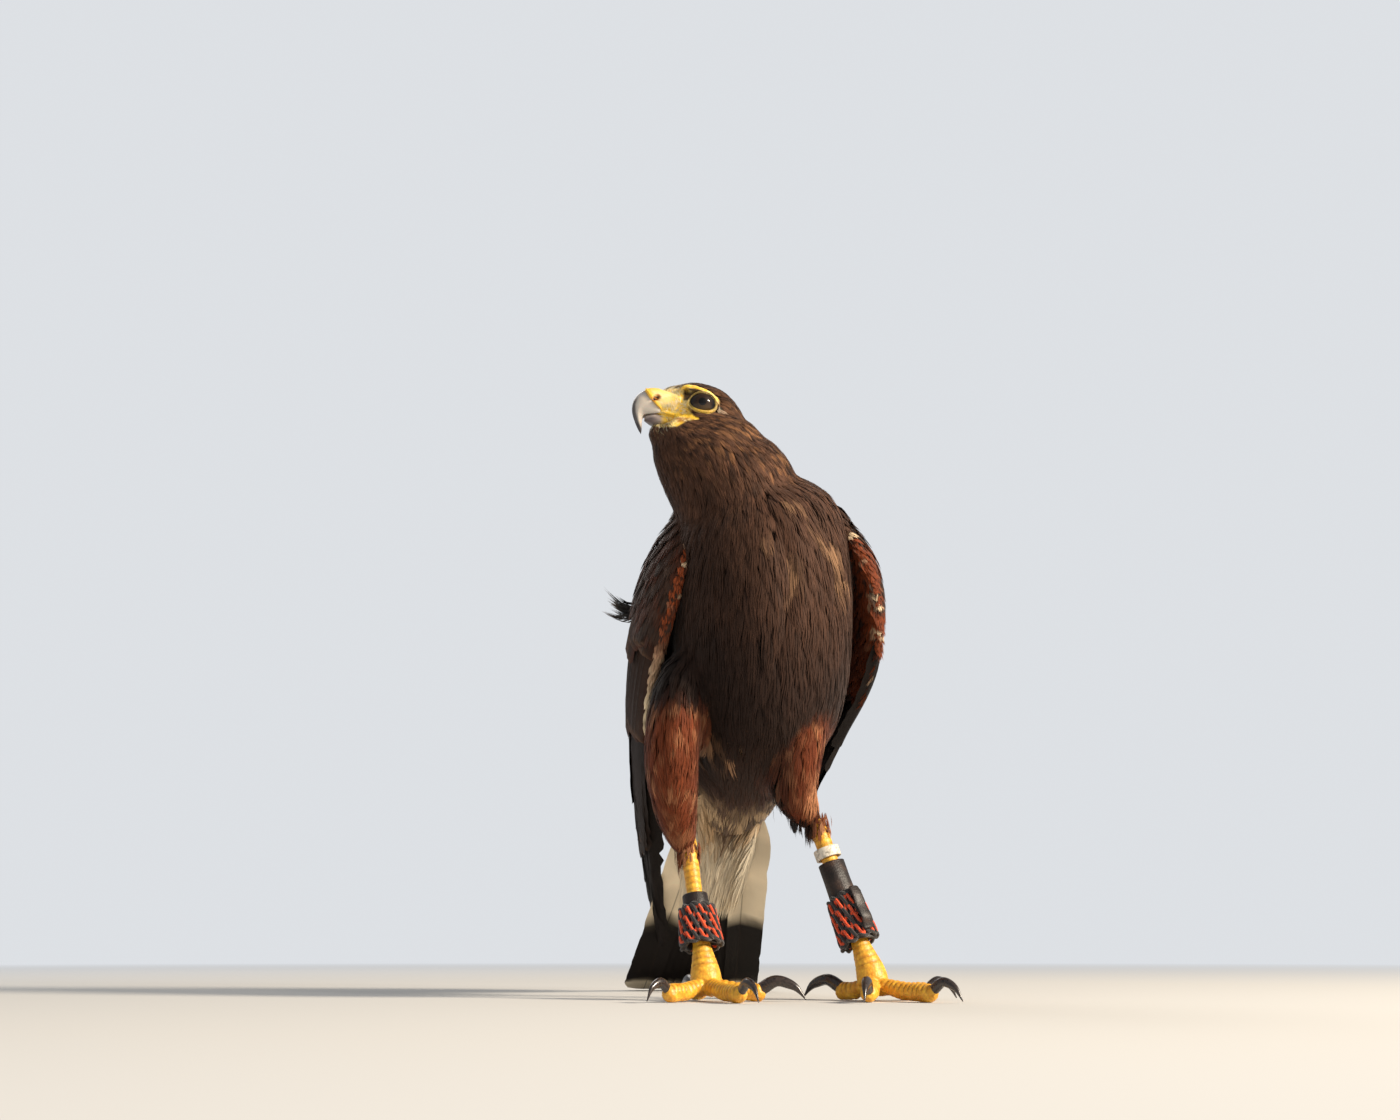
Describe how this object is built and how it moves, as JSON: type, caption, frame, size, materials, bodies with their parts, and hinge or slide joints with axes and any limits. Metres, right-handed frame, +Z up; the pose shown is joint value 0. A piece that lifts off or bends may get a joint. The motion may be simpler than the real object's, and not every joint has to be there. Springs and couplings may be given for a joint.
{
  "type": "harris's hawk",
  "caption": "Life-size hawk standing upright on both feet, wings folded, head turned to its right, tail tip resting behind, with leather anklets and a leg ring.",
  "frame": {"origin": "on the floor, under the middle of the whole bird's box", "axes": "+Z up, the bird's breast faces -Y and its tail points to +Y, its own right side is -X"},
  "size_m": [0.1922, 0.3172, 0.3643],
  "materials": {
    "plumage": "soft chocolate brown feathers",
    "rufous": "soft chestnut feathers with fine pale bars",
    "flight": "black-brown flight feathers, chestnut shoulder, white tail base",
    "bare_skin": "bare yellow skin with scutes",
    "horn": "smooth pale horn, darker at the tip",
    "claw": "glossy black-brown horn",
    "eye": "wet dark brown",
    "leather": "dark brown hide",
    "braid": "braided orange and black cord",
    "ring": "pale grey"
  },
  "bodies": {
    "root": {"trunk": "plumage", "neck": "plumage", "head": "plumage", "cere": "bare_skin", "bill_upper": "horn", "bill_lower": "horn", "eye_left": "eye", "eye_right": "eye", "tail": "flight", "thigh_right": "rufous", "wing_right": "flight", "leg_right": "bare_skin", "toe_hind_right": "bare_skin", "claw_hind_right": "claw", "toe_inner_right": "bare_skin", "claw_inner_right": "claw", "toe_middle_right": "bare_skin", "claw_middle_right": "claw", "toe_outer_right": "bare_skin", "claw_outer_right": "claw", "cuff_right": "leather", "lacing_right": "braid", "thigh_left": "rufous", "wing_left": "flight", "leg_left": "bare_skin", "toe_hind_left": "bare_skin", "claw_hind_left": "claw", "toe_inner_left": "bare_skin", "claw_inner_left": "claw", "toe_middle_left": "bare_skin", "claw_middle_left": "claw", "toe_outer_left": "bare_skin", "claw_outer_left": "claw", "cuff_left": "leather", "lacing_left": "braid", "ring_left": "ring", "strap_left": "leather"}
  },
  "joints": []
}
